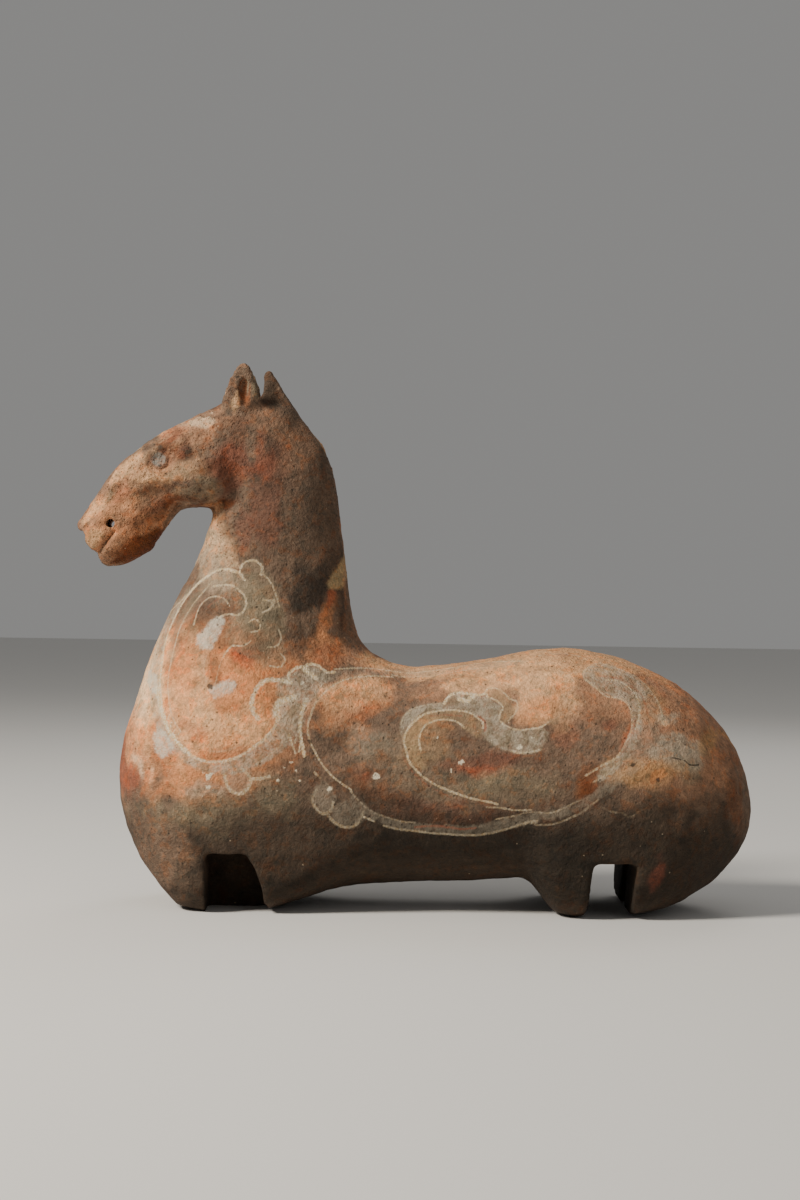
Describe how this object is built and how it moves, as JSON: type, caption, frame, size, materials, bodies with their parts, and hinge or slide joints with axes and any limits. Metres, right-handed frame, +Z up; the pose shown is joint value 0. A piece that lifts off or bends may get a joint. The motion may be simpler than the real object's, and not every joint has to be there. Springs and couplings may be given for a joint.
{
  "type": "terracotta horse figure",
  "caption": "Hollow fired-clay figure of a standing horse, its wooden legs lost and their sockets open, with worn painted cloud scrolls",
  "frame": {"origin": "under the middle of the figure's bounding box, on the surface that it stands on", "axes": "-X is the way the horse faces, +Z is up, -Y is the horse's left side, which the picture shows"},
  "size_m": [0.6064, 0.1978, 0.4824],
  "materials": {
    "terracotta": "matte fired clay with worn mineral paint and earth"
  },
  "bodies": {
    "root": {"horse": "terracotta"}
  },
  "joints": []
}
